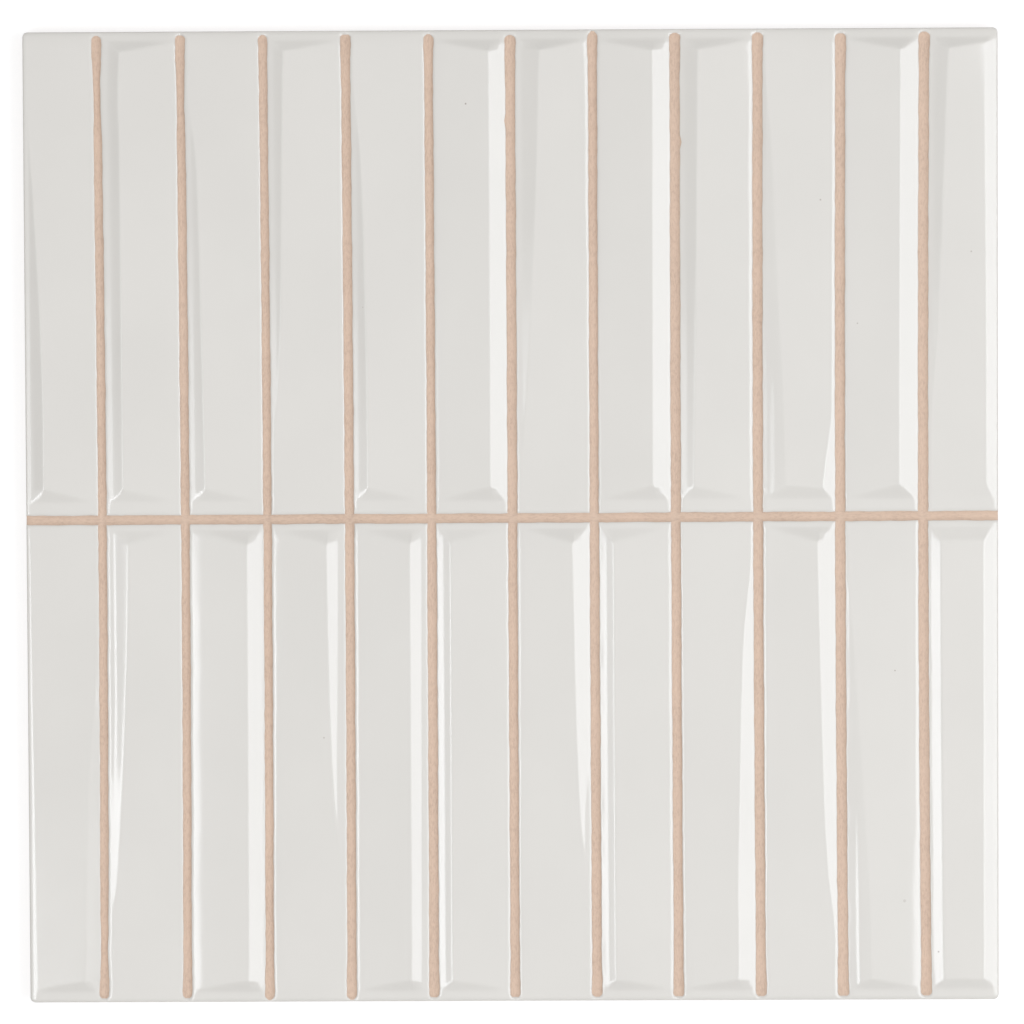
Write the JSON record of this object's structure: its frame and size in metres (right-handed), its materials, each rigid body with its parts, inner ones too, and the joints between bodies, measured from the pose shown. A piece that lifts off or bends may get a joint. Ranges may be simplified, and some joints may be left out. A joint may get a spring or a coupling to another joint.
{
  "type": "finger mosaic wall tile",
  "caption": "Square glazed ceramic wall tile pressed in one piece to look like two rows of upright finger tiles, with bevelled faces between scored clay joints and a keyed back",
  "frame": {"origin": "middle of the back, on the plane that the tile lies on", "axes": "+X across the fingers to the right, +Y along the fingers towards the upper row, +Z out of the glazed face"},
  "size_m": [0.298, 0.298, 0.0098],
  "materials": {
    "glazed_clay": "gloss white glaze over pink-beige fired clay, which is bare in the scored joints, on the sides and on the back"
  },
  "bodies": {
    "root": {"mosaic_tile": "glazed_clay"}
  },
  "joints": []
}
